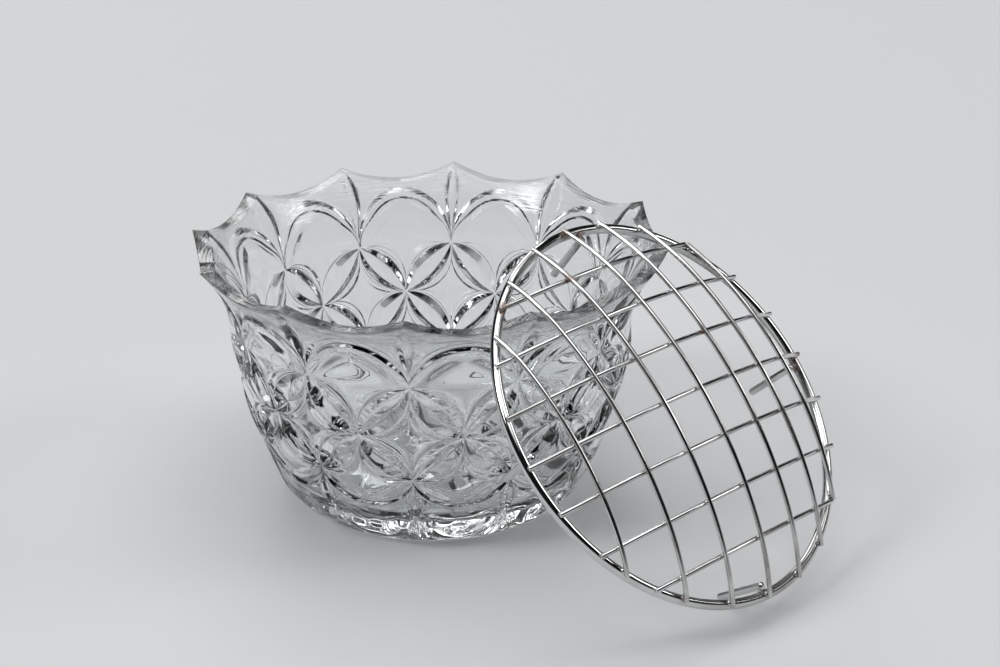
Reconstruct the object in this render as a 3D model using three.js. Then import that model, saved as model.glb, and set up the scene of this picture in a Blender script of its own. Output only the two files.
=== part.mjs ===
// Rose bowl: a pressed crystal bowl with a scalloped rim and a petal pattern of overlapping circles,
// and its domed wire flower grid, lifted off and leaned against the rim.
// Millimetres, +Z up, the bowl's axis is Z and its foot stands on Z = 0.
import * as THREE from 'three';

// Sizes of the bowl
const TIP_RADIUS = 82.5; // axis to the outer edge of a rim point
const TIP_HEIGHT = 92.5; // table to a rim point
const SCALLOP_DEPTH = 4.7; // drop of the rim between two points
const FLARE_HEIGHT = 26.5; // rim point down to the narrowest part of the neck
const NECK_RADIUS = 69; // outside of the neck
const WALL_TAPER = 18; // how far the wall draws in from the neck to the table
const FOOT_RADIUS = 46.6; // flat face the bowl stands on
const BEVEL_HEIGHT = 10; // sloped edge above the foot
const WALL = 5.5; // glass thickness, measured level
const FLOOR_THICKNESS = 11; // glass under the inside floor
const INNER_CORNER = 9; // rounding between floor and wall inside
const RIM_POINTS = 12;
const BELLY_POWER = 1.75; // roundness of the body
const FLARE_POWER = 1.65; // roundness of the flare

// Sizes of the pattern
const PATTERN_FOOT = 18.5; // height of the lowest line of the pattern
const RIM_BAND = 3.6; // plain band between the arches and the lowest part of the rim
const ROW_SHARE = [0.18, 0.255, 0.28, 0.285]; // rows of circles, from the foot up
const PETAL_DEPTH = 2.4; // scoop of a petal at its middle
const NODE_DEPTH = 0.7; // dip where four petals meet
const STAR_RISE = 0.7; // height of the star between four petals
const ARCH_DEPTH = 1.4; // scoop of the arches that close the pattern at its top and bottom
const ARCH_WIDTH = 0.2; // width of an arch as a share of its radius
const LEAF_DEPTH = 1.2; // narrow leaf that runs up to each rim point
const FLUTE_DEPTH = 0.9; // short flutes under the pattern

// Sizes of the grid
const RING_RADIUS = 65.7; // centre line of the rim ring
const RING_ROD = 1.65; // radius of its rod
const WIRE_ROD = 0.8; // radius of the grid wires
const WIRES = 7; // wires each way
const WIRE_PITCH = 16.4; // spacing of the wires
const GRID_SHIFT = 3.4; // upper wires sit this far off the ring's middle
const GRID_TURN = -2.4; // turn of the grid in its ring
const DOME_RISE = 16.2; // height of the dome over the ring
const WIRE_END = 0.3; // wire ends stop short of the ring's outer side
const SEAT_RUN = 11; // upper wires come down to the ring within this distance of it
const SEAT_FLAT = 0.5; // last stretch of a wire, level on the ring
const CROSS_INSET = 2.2; // wires cross no nearer to the ring than this
const PEG_ROD = 1.25; // radius of a peg
const PEG_LENGTH = 19.5;
const PEG_LEAN = 10.3; // pegs draw in towards their tips
const PEG_TURN = 84.7; // place of the first peg round the ring
const PEG_STAND = 1.2; // top end of a peg over the ring's middle plane
const PEGS = 4;
const WELD_GAP = 0.3; // clearance between pieces that are welded to each other

// How the grid leans on the bowl
const LEAN_TILT = 42.6; // the grid's axis rises by this angle
const LEAN_TURN = -37.4; // heading of the grid's axis, seen from above
const LEAN_PLACE = -35.8; // heading of the ring's middle from the bowl's axis
const LEAN_GAP = 0.45; // clearance between grid and rim where it leans

const RAD = Math.PI / 180;
const clamp = THREE.MathUtils.clamp;
const lerp = THREE.MathUtils.lerp;

// Heights that follow from the sizes
const NECK_HEIGHT = TIP_HEIGHT - FLARE_HEIGHT;
const ARCH_TOP = TIP_HEIGHT - SCALLOP_DEPTH - RIM_BAND;
const HALF_PITCH = Math.PI / RIM_POINTS;
const STEPS_ROUND = 2 * RIM_POINTS;

// Row heights: each row of circles takes its share of the pattern's height
const rowHeight = ROW_SHARE.reduce(
  (rows, share) => [...rows, rows[rows.length - 1] + share * (ARCH_TOP - PATTERN_FOOT)],
  [PATTERN_FOOT],
);

// Outside of the glass before it is cut, as a radius at a height
function wallRadius(z) {
  if (z >= NECK_HEIGHT) {
    const s = (z - NECK_HEIGHT) / FLARE_HEIGHT;
    return NECK_RADIUS + (TIP_RADIUS - NECK_RADIUS) * s ** FLARE_POWER;
  }
  const s = 1 - Math.max(z, BEVEL_HEIGHT) / NECK_HEIGHT;
  const wall = NECK_RADIUS - WALL_TAPER * s ** BELLY_POWER;
  if (z >= BEVEL_HEIGHT) return wall;
  return lerp(FOOT_RADIUS, wall, (z / BEVEL_HEIGHT) ** 0.9);
}

// Height of the rim: a shallow arc from point to point, with a point at each even step
function rimHeight(step) {
  const fromPoint = Math.abs(step - 2 * Math.round(step / 2));
  return TIP_HEIGHT - SCALLOP_DEPTH * (1 - (1 - fromPoint) ** 2);
}

// A point of the outside: step counts half pitches round the bowl, relief stands out from the wall
function outside(step, z, relief) {
  const turn = (step % STEPS_ROUND) * HALF_PITCH;
  const r = wallRadius(z) + relief;
  return [r * Math.cos(turn), r * Math.sin(turn), z];
}

function patternHeight(v) {
  const row = clamp(Math.floor(v), 0, ROW_SHARE.length - 1);
  return lerp(rowHeight[row], rowHeight[row + 1], v - row);
}

// Triangle soup that becomes one closed body
class Skin {
  constructor() {
    this.corners = [];
  }

  tri(a, b, c) {
    this.corners.push(...a, ...b, ...c);
  }

  quad(a, b, c, d) {
    this.tri(a, b, c);
    this.tri(a, c, d);
  }

  // Band between two closed rows, both counted the same way round; the upper may be twice as fine
  band(lower, upper) {
    const n = lower.length;
    for (let i = 0; i < n; i++) {
      const a = lower[i];
      const b = lower[(i + 1) % n];
      if (upper.length === n) {
        this.quad(a, b, upper[(i + 1) % n], upper[i]);
      } else {
        const mid = upper[2 * i + 1];
        this.tri(a, mid, upper[2 * i]);
        this.tri(a, b, mid);
        this.tri(b, upper[(2 * i + 2) % upper.length], mid);
      }
    }
  }

  geometry() {
    const g = new THREE.BufferGeometry();
    g.setAttribute('position', new THREE.Float32BufferAttribute(this.corners, 3));
    g.computeVertexNormals();
    return g;
  }
}

// Petal pattern. In steps round and rows up, petals lie along the diagonals of unit squares: their
// edges are arcs of unit circles about the star corners, and they end in the node corners. Arches take
// the place of the petals in the first and last rows.
const ARC = 5; // pieces of an arc
const RINGS = [1 / 3, 2 / 3]; // rings of points between a star's middle and its arcs
const TOP_ROW = ROW_SHARE.length;

const isNode = (step, v) => (step + v + 2 * STEPS_ROUND) % 2 === 1;

// Stars rise towards their middle along four ridges; the topmost carry the leaf under a rim point
function starRelief(ds, dv, out, v) {
  const across = ds * ds + dv * dv > 0 ? (2 * Math.abs(ds * dv)) / (ds * ds + dv * dv) : 0;
  if (v === TOP_ROW && Math.abs(ds) < 1e-9) return -LEAF_DEPTH;
  return STAR_RISE * (1 - out) * (1 - 0.75 * across);
}

// A point on the unit circle about a star corner, from one node corner to the other
function arcPoint(star, n1, n2, angle) {
  return [0, 1].map(
    (k) => star[k] + Math.cos(angle) * (n1[k] - star[k]) + Math.sin(angle) * (n2[k] - star[k]),
  );
}

// The first and last rows of squares are closed by arches, which meet at their tops and bottoms
const isEnd = (v) => v === 0 || v === TOP_ROW;

// Edge of a star's quarter: the circle about the star across the petal, or the inner side of an arch
function quarterEdge(star, across, n1, n2, angle) {
  if (isEnd(star[1]) || !isEnd(across[1])) return arcPoint(across, n1, n2, angle);
  const fromNode = n1[1] === star[1] ? angle : Math.PI / 2 - angle;
  const share = 1 - ARCH_WIDTH * THREE.MathUtils.smoothstep(fromNode, 0, Math.PI / 4);
  return arcPoint(star, n1, n2, angle).map((c, k) => lerp(star[k], c, share));
}

// A point of a star's quarter
function starPoint(star, across, n1, n2, angle, out) {
  const edge = quarterEdge(star, across, n1, n2, angle);
  const ds = edge[0] - star[0];
  const dv = edge[1] - star[1];
  const atNode = [n1, n2].some(
    (n) => Math.hypot(n[0] - edge[0], n[1] - edge[1]) < 1e-9 && !isEnd(n[1]),
  );
  let relief = starRelief(out * ds, out * dv, out, star[1]);
  if (out === 1) relief = atNode ? -NODE_DEPTH : 0;
  return outside(star[0] + out * ds, patternHeight(star[1] + out * dv), relief);
}

function petalSquare(skin, i, j) {
  const nodeFirst = isNode(i, j);
  const nodes = nodeFirst ? [[i, j], [i + 1, j + 1]] : [[i + 1, j], [i, j + 1]];
  const stars = nodeFirst ? [[i + 1, j], [i, j + 1]] : [[i, j], [i + 1, j + 1]];
  const [n1, n2] = nodes;
  const arcs = stars.map((star, side) => {
    const across = stars[1 - side];
    const rows = [...RINGS, 1].map((out) => {
      const row = [];
      for (let k = 0; k <= ARC; k++) {
        row.push(starPoint(star, across, n1, n2, (k / ARC) * (Math.PI / 2), out));
      }
      return row;
    });
    const middle = starPoint(star, across, n1, n2, 0, 0);
    // The corners star, first node, second node turn anticlockwise for one star and clockwise for the other
    const turn = (n1[0] - star[0]) * (n2[1] - star[1]) - (n1[1] - star[1]) * (n2[0] - star[0]);
    const face = (a, b, c) => (turn > 0 ? skin.tri(a, b, c) : skin.tri(a, c, b));
    for (let k = 0; k < ARC; k++) {
      face(middle, rows[0][k], rows[0][k + 1]);
      for (let m = 0; m + 1 < rows.length; m++) {
        face(rows[m][k], rows[m + 1][k], rows[m + 1][k + 1]);
        face(rows[m][k], rows[m + 1][k + 1], rows[m][k + 1]);
      }
    }
    return { edge: rows[rows.length - 1], face };
  });
  // The petal or arch: its middle line dips between its two edges, which meet at the nodes
  const pointed = nodes.map((n) => !isEnd(n[1]));
  const arch = pointed.includes(false);
  const spine = [];
  for (let k = 0; k <= ARC; k++) {
    const angle = (k / ARC) * (Math.PI / 2);
    const [a, b] = stars.map((star, side) => quarterEdge(star, stars[1 - side], n1, n2, angle));
    const fromNode = pointed[0] ? angle : Math.PI / 2 - angle;
    const dip = arch
      ? lerp(NODE_DEPTH, ARCH_DEPTH, THREE.MathUtils.smoothstep(fromNode, 0, Math.PI / 4))
      : lerp(NODE_DEPTH, PETAL_DEPTH, Math.sin(2 * angle));
    const place = [(a[0] + b[0]) / 2, (a[1] + b[1]) / 2];
    spine.push(outside(place[0], patternHeight(place[1]), -dip));
  }
  for (const { edge, face } of arcs) {
    for (let k = 0; k < ARC; k++) {
      if (k > 0 || !pointed[0]) face(edge[k], spine[k], edge[k + 1]);
      if (k + 1 < ARC || !pointed[1]) face(spine[k], spine[k + 1], edge[k + 1]);
    }
  }
}

// Points of the lines where the pattern ends, three to each half pitch, as its squares have them
function patternLine(v) {
  const line = [];
  const per = RINGS.length + 1;
  for (let k = 0; k < STEPS_ROUND * per; k++) {
    const step = k / per;
    const nearest = Math.round(step);
    let relief;
    if (k % per === 0 && isNode(nearest, v)) {
      relief = 0;
    } else {
      const lower = Math.floor(step + 1e-9);
      const star = isNode(lower, v) ? lower + 1 : lower;
      const out = k % per === 0 ? 0 : Math.abs(step - star);
      relief = starRelief(step - star, 0, out, v);
    }
    line.push(outside(step, rowHeight[v], relief));
  }
  return line;
}

function levelRow(count, height, radius) {
  const row = [];
  for (let k = 0; k < count; k++) {
    const turn = (k / count) * 2 * Math.PI;
    const step = (k / count) * STEPS_ROUND;
    const r = radius(step);
    row.push([r * Math.cos(turn), r * Math.sin(turn), height(step)]);
  }
  return row;
}

function glassBowl() {
  const skin = new Skin();
  const round = STEPS_ROUND * (RINGS.length + 1);
  for (let j = 0; j < TOP_ROW; j++) {
    for (let i = 0; i < STEPS_ROUND; i++) petalSquare(skin, i, j);
  }
  // Foot, bevel and short flutes below the pattern
  const flute = (step, z) => {
    const lift = Math.sin((Math.PI * clamp(z, 0, PATTERN_FOOT)) / PATTERN_FOOT);
    return -FLUTE_DEPTH * lift * (0.5 + 0.5 * Math.cos(Math.PI * step)) ** 3;
  };
  const below = [0, 0.3, 0.6, 1].map((s) => s * BEVEL_HEIGHT);
  below.push((BEVEL_HEIGHT + PATTERN_FOOT) / 2);
  const footRows = below.map((z) => levelRow(round, () => z, (s) => wallRadius(z) + flute(s, z)));
  const stack = [...footRows, patternLine(0)];
  for (let k = 0; k + 1 < stack.length; k++) skin.band(stack[k], stack[k + 1]);
  const base = [0, 0, 0];
  footRows[0].forEach((p, k) => skin.tri(base, footRows[0][(k + 1) % round], p));
  // Plain band and scalloped rim above it
  const bandMid = (s) => lerp(ARCH_TOP, rimHeight(s), 0.55);
  const leaf = (s) => LEAF_DEPTH * Math.max(0, 1 - 3 * Math.abs(s - 2 * Math.round(s / 2)));
  const plain = levelRow(round, bandMid, (s) => wallRadius(bandMid(s)) - leaf(s));
  const rimOut = levelRow(2 * round, rimHeight, (s) => wallRadius(rimHeight(s)));
  skin.band(patternLine(TOP_ROW), plain);
  skin.band(plain, rimOut);
  // Flat top of the rim, then the smooth inside down to the floor
  const inside = (z) => wallRadius(z) - WALL;
  const rimIn = levelRow(round, rimHeight, (s) => inside(rimHeight(s)));
  const rows = [rimIn];
  const cornerTop = FLOOR_THICKNESS + INNER_CORNER;
  const levels = 6;
  for (let k = 0; k <= levels; k++) {
    const z = lerp(ARCH_TOP, cornerTop, k / levels);
    rows.push(levelRow(round, () => z, () => inside(z)));
  }
  for (const t of [30, 60, 90]) {
    const z = FLOOR_THICKNESS + INNER_CORNER * (1 - Math.sin(t * RAD));
    const r = inside(cornerTop) - INNER_CORNER * (1 - Math.cos(t * RAD));
    rows.push(levelRow(round, () => z, () => r));
  }
  for (let k = 0; k < round; k++) {
    const a = rimIn[k];
    const b = rimIn[(k + 1) % round];
    const mid = rimOut[2 * k + 1];
    skin.tri(rimOut[2 * k], mid, a);
    skin.tri(a, mid, b);
    skin.tri(b, mid, rimOut[(2 * k + 2) % (2 * round)]);
  }
  for (let k = 0; k + 1 < rows.length; k++) skin.band(rows[k], rows[k + 1]);
  const floor = [0, 0, FLOOR_THICKNESS];
  const floorEdge = rows[rows.length - 1];
  floorEdge.forEach((p, k) => skin.tri(floor, p, floorEdge[(k + 1) % round]));
  return skin;
}

// A round rod along a line of points, with flat ends; flat is the direction of its bending axis
function rod(points, radius, sides, flat) {
  const skin = new Skin();
  const rows = points.map((p, k) => {
    const before = points[Math.max(k - 1, 0)];
    const after = points[Math.min(k + 1, points.length - 1)];
    const along = after.clone().sub(before).normalize();
    const rise = along.clone().cross(flat).normalize();
    const row = [];
    for (let s = 0; s < sides; s++) {
      const t = ((s + 0.5) / sides) * 2 * Math.PI;
      const q = p.clone();
      q.addScaledVector(flat, radius * Math.cos(t));
      q.addScaledVector(rise, radius * Math.sin(t));
      row.push(q.toArray());
    }
    return row;
  });
  for (let k = 0; k + 1 < rows.length; k++) skin.band(rows[k], rows[k + 1]);
  const first = rows[0];
  const last = rows[rows.length - 1];
  for (let s = 1; s + 1 < sides; s++) {
    skin.tri(first[0], first[s + 1], first[s]);
    skin.tri(last[0], last[s], last[s + 1]);
  }
  return skin;
}

// The dome of the grid, as a height over the ring's middle plane at a distance from its axis
const domeRadius = (RING_RADIUS ** 2 + DOME_RISE ** 2) / (2 * DOME_RISE);
const edgeSlope = Math.asin(RING_RADIUS / domeRadius);
const WIRE_SEAT = (RING_ROD + WIRE_ROD + WELD_GAP) / Math.cos(edgeSlope);
const CROSS_LIFT = (2 * WIRE_ROD + WELD_GAP) / Math.cos(edgeSlope);

function domeHeight(r) {
  return Math.sqrt(domeRadius ** 2 - r ** 2) - (domeRadius - DOME_RISE) + WIRE_SEAT;
}

// Upper wires ride over the lower ones and come down to the ring beyond a given distance from its axis
function wireHeight(r, upper, fall) {
  if (!upper) return domeHeight(r);
  const down = THREE.MathUtils.smoothstep(r, fall, RING_RADIUS - SEAT_FLAT);
  return domeHeight(r) + CROSS_LIFT * (1 - down);
}

// Distance of a wire from the middle of the grid
function wireOffset(index, upper) {
  return (index - (WIRES + 1) / 2) * WIRE_PITCH - (upper ? GRID_SHIFT : 0);
}

// One end of a wire: it stops on the ring. An upper wire comes down outside its last crossing, and a lower
// wire stops just before an upper one that it would only meet over the ring
function wireEnd(off, upper, side) {
  let reach = Math.sqrt((RING_RADIUS + RING_ROD - WIRE_END) ** 2 - off ** 2);
  let fall = RING_RADIUS - SEAT_RUN;
  for (let w = 1; w <= WIRES; w++) {
    const other = side * wireOffset(w, !upper);
    const crossing = Math.hypot(off, other);
    if (other <= 0) continue;
    if (crossing < RING_RADIUS - CROSS_INSET) {
      fall = Math.max(fall, crossing + WIRE_ROD / 2);
    } else if (!upper) {
      reach = Math.min(reach, other - 2 * WIRE_ROD - WELD_GAP);
    }
  }
  const at = (r) => Math.sqrt(Math.max(r ** 2 - off ** 2, 0));
  const near = Math.min(at(RING_RADIUS - SEAT_FLAT), reach - SEAT_FLAT);
  const start = Math.min(at(fall), near - SEAT_FLAT);
  return { fall, stops: [reach, near, (near + start) / 2, start] };
}

// Middle line of a wire in the grid's own frame, its axis along Z and the ring round the origin
function wireLine(index, upper) {
  const off = wireOffset(index, upper);
  const turn = GRID_TURN * RAD;
  const points = [];
  const [head, tail] = [1, -1].map((side) => wireEnd(off, upper, side));
  const inner = 8;
  const stops = [...head.stops];
  for (let k = 1; k < inner; k++) stops.push(lerp(head.stops[3], -tail.stops[3], k / inner));
  stops.push(...tail.stops.map((t) => -t).reverse());
  for (const t of stops) {
    const x = upper ? off : t;
    const y = upper ? t : off;
    const z = wireHeight(Math.hypot(off, t), upper, (t > 0 ? head : tail).fall);
    points.push(
      new THREE.Vector3(
        x * Math.cos(turn) - y * Math.sin(turn),
        x * Math.sin(turn) + y * Math.cos(turn),
        z,
      ),
    );
  }
  const flat = new THREE.Vector3(Math.cos(turn), Math.sin(turn), 0);
  if (!upper) flat.set(-Math.sin(turn), Math.cos(turn), 0);
  return { points, flat };
}

function pegLine(index) {
  const turn = (PEG_TURN + (index * 360) / PEGS) * RAD;
  const out = new THREE.Vector3(Math.cos(turn), Math.sin(turn), 0);
  const flat = new THREE.Vector3(-Math.sin(turn), Math.cos(turn), 0);
  const lean = PEG_LEAN * RAD;
  const down = new THREE.Vector3(0, 0, -Math.cos(lean)).addScaledVector(out, -Math.sin(lean));
  // The peg's side lies against the inside of the ring's rod at the ring's middle plane
  const clear = (RING_ROD + PEG_ROD + WELD_GAP) / Math.cos(lean);
  const seat = out.clone().multiplyScalar(RING_RADIUS - clear);
  const top = seat.clone().addScaledVector(down, -PEG_STAND / Math.cos(lean));
  const tip = top.clone().addScaledVector(down, PEG_LENGTH);
  return { points: [top, tip], flat };
}

// Where the leaning grid stands: the tip of its lowest peg touches the table, and it is drawn in towards
// the bowl until the nearest rod is one clearance away from the glass
const leanFrame = (() => {
  const tilt = LEAN_TILT * RAD;
  const turn = LEAN_TURN * RAD;
  const axis = new THREE.Vector3(
    Math.cos(tilt) * Math.cos(turn),
    Math.cos(tilt) * Math.sin(turn),
    Math.sin(tilt),
  );
  const side = new THREE.Vector3(-Math.sin(turn), Math.cos(turn), 0);
  return { axis, side, up: axis.clone().cross(side) };
})();

// Middle lines of the pegs, and of the ring and wires
function pegLines() {
  return Array.from({ length: PEGS }, (_, p) => {
    const [top, tip] = pegLine(p).points;
    const points = Array.from({ length: 21 }, (_unused, k) => top.clone().lerp(tip, k / 20));
    return { points, radius: PEG_ROD };
  });
}

function gridLines() {
  const lines = [];
  const ring = [];
  for (let k = 0; k < 360; k++) {
    ring.push(new THREE.Vector3(RING_RADIUS * Math.cos(k * RAD), RING_RADIUS * Math.sin(k * RAD), 0));
  }
  lines.push({ points: ring, radius: RING_ROD });
  for (let w = 1; w <= WIRES; w++) {
    for (const upper of [true, false]) {
      const curve = new THREE.CatmullRomCurve3(wireLine(w, upper).points);
      lines.push({ points: curve.getPoints(120), radius: WIRE_ROD });
    }
  }
  return lines;
}

// Distance from a point to the glass, taken in the plane through the bowl's axis
function glassClearance(p) {
  const r = Math.hypot(p.x, p.y);
  const rim = rimHeight(Math.atan2(p.y, p.x) / HALF_PITCH + STEPS_ROUND);
  const out = wallRadius(clamp(p.z, 0, rim));
  const level = Math.max(r - out, out - WALL - r);
  const above = p.z - rim;
  if (above <= 0) return level * 0.85;
  return level > 0 ? Math.hypot(level * 0.85, above) : above;
}

// Height of the ring's middle over the table, from the lowest of the ring and the tips of the pegs
function leanHeight() {
  const { axis, side, up } = leanFrame;
  let height = RING_RADIUS * Math.cos(LEAN_TILT * RAD) + RING_ROD;
  for (let p = 0; p < PEGS; p++) {
    const [top, tip] = pegLine(p).points;
    const rise = (v) => v.x * side.z + v.y * up.z + v.z * axis.z;
    const slope = (rise(tip) - rise(top)) / PEG_LENGTH;
    height = Math.max(height, PEG_ROD * Math.sqrt(1 - slope ** 2) - rise(tip));
  }
  return height;
}

function leanPosition() {
  const heading = LEAN_PLACE * RAD;
  const height = leanHeight();
  const { axis, side, up } = leanFrame;
  const at = (distance) =>
    new THREE.Vector3(distance * Math.cos(heading), distance * Math.sin(heading), height);
  const q = new THREE.Vector3();
  const clearance = (lines, distance) => {
    const origin = at(distance);
    let least = Infinity;
    for (const { points, radius } of lines) {
      for (const p of points) {
        q.copy(origin).addScaledVector(side, p.x).addScaledVector(up, p.y).addScaledVector(axis, p.z);
        least = Math.min(least, glassClearance(q) - radius);
      }
    }
    return least;
  };
  // Ring and wires are drawn in to the rim, and back out again if a peg would then stand in the glass
  const frame = gridLines();
  const pegs = pegLines();
  const stride = LEAN_GAP * 4;
  let far = TIP_RADIUS + RING_RADIUS;
  let near = far;
  while (clearance(frame, near) > LEAN_GAP && near > 0) near -= stride;
  far = near + stride;
  for (let k = 0; k < 24; k++) {
    const mid = (near + far) / 2;
    if (clearance(frame, mid) > LEAN_GAP) far = mid;
    else near = mid;
  }
  while (clearance(pegs, far) < LEAN_GAP) far += LEAN_GAP;
  return at(far);
}

// Finishes
const crystal = () =>
  new THREE.MeshStandardMaterial({
    color: 0xe8edf0,
    roughness: 0.04,
    metalness: 0,
    transparent: true,
    opacity: 0.45,
  });
const plated = (tone) => new THREE.MeshStandardMaterial({ color: tone, roughness: 0.16, metalness: 1 });

function piece(name, geometry, material) {
  const mesh = new THREE.Mesh(geometry, material);
  mesh.name = name;
  return mesh;
}

const roseBowl = new THREE.Group();
roseBowl.name = 'rose_bowl';
roseBowl.add(piece('glass_bowl', glassBowl().geometry(), crystal()));

const grid = new THREE.Group();
grid.name = 'grid';
grid.add(piece('grid_ring', new THREE.TorusGeometry(RING_RADIUS, RING_ROD, 8, 60), plated(0xc9ccd0)));
for (let w = 1; w <= WIRES; w++) {
  for (const upper of [true, false]) {
    const { points, flat } = wireLine(w, upper);
    const name = `${upper ? 'upper' : 'lower'}_wire_${w}`;
    grid.add(piece(name, rod(points, WIRE_ROD, 6, flat).geometry(), plated(upper ? 0xd2d4d6 : 0xcfd1d3)));
  }
}
for (let p = 0; p < PEGS; p++) {
  const { points, flat } = pegLine(p);
  grid.add(piece(`peg_${p + 1}`, rod(points, PEG_ROD, 10, flat).geometry(), plated(0xc4c6c9)));
}
grid.setRotationFromMatrix(
  new THREE.Matrix4().makeBasis(leanFrame.side, leanFrame.up, leanFrame.axis),
);
grid.position.copy(leanPosition());
roseBowl.add(grid);

export default roseBowl;
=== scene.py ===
"""Rose bowl: the looks of a pressed crystal bowl and of its loose wire flower grid.

Laid out as an add-on and run as a script. Lengths are in metres, in the part's own frame: +Z up, the bowl's
axis on Z and its foot on Z = 0, the grid lifted off and leaning on the rim.
"""
import math

import bpy
from bpy.props import FloatProperty, FloatVectorProperty, IntProperty, PointerProperty
from mathutils import Matrix, Vector


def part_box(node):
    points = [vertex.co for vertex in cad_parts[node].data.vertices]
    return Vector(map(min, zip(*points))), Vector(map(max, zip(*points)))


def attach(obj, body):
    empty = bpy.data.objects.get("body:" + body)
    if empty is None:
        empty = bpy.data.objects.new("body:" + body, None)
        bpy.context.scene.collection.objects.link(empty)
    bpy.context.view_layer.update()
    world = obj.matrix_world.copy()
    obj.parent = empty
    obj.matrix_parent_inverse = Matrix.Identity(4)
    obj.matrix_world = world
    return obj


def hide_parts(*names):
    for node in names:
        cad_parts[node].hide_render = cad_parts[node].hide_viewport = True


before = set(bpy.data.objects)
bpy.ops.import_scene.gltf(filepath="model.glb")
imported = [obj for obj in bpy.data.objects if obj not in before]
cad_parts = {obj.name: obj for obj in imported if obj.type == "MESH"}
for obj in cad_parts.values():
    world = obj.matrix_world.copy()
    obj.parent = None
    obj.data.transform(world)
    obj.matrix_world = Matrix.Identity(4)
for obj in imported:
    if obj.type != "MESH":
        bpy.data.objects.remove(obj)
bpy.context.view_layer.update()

bl_info = {
    "name": "Rose Bowl",
    "version": (1, 0, 0),
    "blender": (4, 5, 0),
    "location": "View3D > Sidebar > Rose Bowl",
    "description": "Builds a pressed crystal rose bowl with its wire flower grid",
    "category": "Add Mesh",
}

MM = 0.001


def tone(code):
    """Linear colour of an sRGB hex value such as #c8cacc."""
    parts = [int(code[k:k + 2], 16) / 255 for k in (1, 3, 5)]
    return tuple(c / 12.92 if c <= 0.04045 else ((c + 0.055) / 1.055) ** 2.4 for c in parts)


def length(name, value, description):
    """A size in metres, given in millimetres."""
    return FloatProperty(name=name, description=description, default=value * MM, unit="LENGTH", precision=5)


def angle(name, value, description):
    """An angle, given in degrees."""
    return FloatProperty(name=name, description=description, default=math.radians(value), unit="ROTATION")


def colour(name, code, description):
    """A colour, given as an sRGB hex value."""
    return FloatVectorProperty(
        name=name, description=description, default=tone(code), subtype="COLOR", size=3,
    )


# Sizes and colours
class RoseBowlSizes(bpy.types.PropertyGroup):
    """Sizes of the glass before its pattern"""

    tip_radius: length("Tip radius", 82.5, "Axis to the outer edge of a rim point")
    tip_height: length("Tip height", 92.5, "Table to a rim point")
    scallop_depth: length("Scallop", 4.7, "Drop of the rim between two points")
    flare_height: length("Flare", 26.5, "Rim point down to the narrowest part of the neck")
    neck_radius: length("Neck radius", 69, "Outside of the neck")
    wall_taper: length("Taper", 18, "How far the wall draws in from the neck to the table")
    foot_radius: length("Foot radius", 46.6, "Flat face that the bowl stands on")
    bevel_height: length("Bevel", 10, "Sloped edge above the foot")
    wall: length("Wall", 5.5, "Glass thickness, measured level")
    floor_thickness: length("Floor", 11, "Glass under the inside floor")
    inner_corner: length("Inner corner", 9, "Rounding between floor and wall inside")
    edge_round: length("Edge round", 0.5, "Fire-polished rounding of the rim and foot edges")
    rim_points: IntProperty(name="Rim points", description="Points round the rim", default=12, min=3)
    belly_power: FloatProperty(name="Belly", description="Roundness of the body", default=1.75)
    flare_power: FloatProperty(name="Flare curve", description="Roundness of the flare", default=1.65)


class RoseBowlPattern(bpy.types.PropertyGroup):
    """Sizes of the petal pattern of overlapping circles"""

    foot: length("Lowest line", 18.5, "Height of the lowest line of the pattern")
    rim_band: length("Rim band", 3.6, "Plain band between the arches and the lowest part of the rim")
    row_share: FloatVectorProperty(
        name="Rows", description="Share of the height that each row of circles takes, from the foot up",
        default=(0.18, 0.255, 0.28, 0.285), size=4,
    )
    petal_depth: length("Petal depth", 3.3, "Scoop of a petal at its middle")
    node_depth: length("Node depth", 0.7, "Dip where four petals meet")
    star_rise: length("Star rise", 0.75, "Height of the star between four petals")
    groove_depth: length("Groove depth", 1.5, "Groove round a star that leaves a ridge along each petal")
    arch_depth: length("Arch depth", 1.5, "Scoop of the arches that close the pattern at its top and bottom")
    arch_share: FloatProperty(
        name="Arch width", description="Width of an arch as a share of its radius", default=0.2,
    )
    leaf_depth: length("Leaf depth", 2.4, "Narrow leaf that runs from a node to each rim point")
    leaf_width: length("Leaf width", 3.2, "Half width of that leaf")
    stem_depth: length("Stem depth", 1.6, "Narrow leaf that runs down from each lowest node")
    stem_width: length("Stem width", 2.4, "Half width of that leaf")
    fan_height: length("Fan height", 18, "Height of the point that the rays of a foot fan spread from")
    fan_depth: length("Fan depth", 0.55, "Rays of the fan over the foot")
    fan_ray: angle("Fan ray", 11, "Angle from one ray of a fan to the next")
    fan_spread: angle("Fan spread", 28, "Angle from the middle of a fan to its last ray")
    thumb_height: length(
        "Thumbprint height", 9, "Middle of the thumbprints over the foot, one between each two fans",
    )
    thumb_rise: length("Thumbprint rise", 6.6, "Half height of a thumbprint")
    thumb_width: length("Thumbprint width", 8.8, "Half width of a thumbprint")
    thumb_depth: length("Thumbprint depth", 1.3, "Scoop of a thumbprint")
    base_depth: length("Base star depth", 1.1, "Cut of the many-rayed star under the foot")
    base_rays: IntProperty(name="Base star rays", description="Rays of that star", default=24, min=3)


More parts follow.
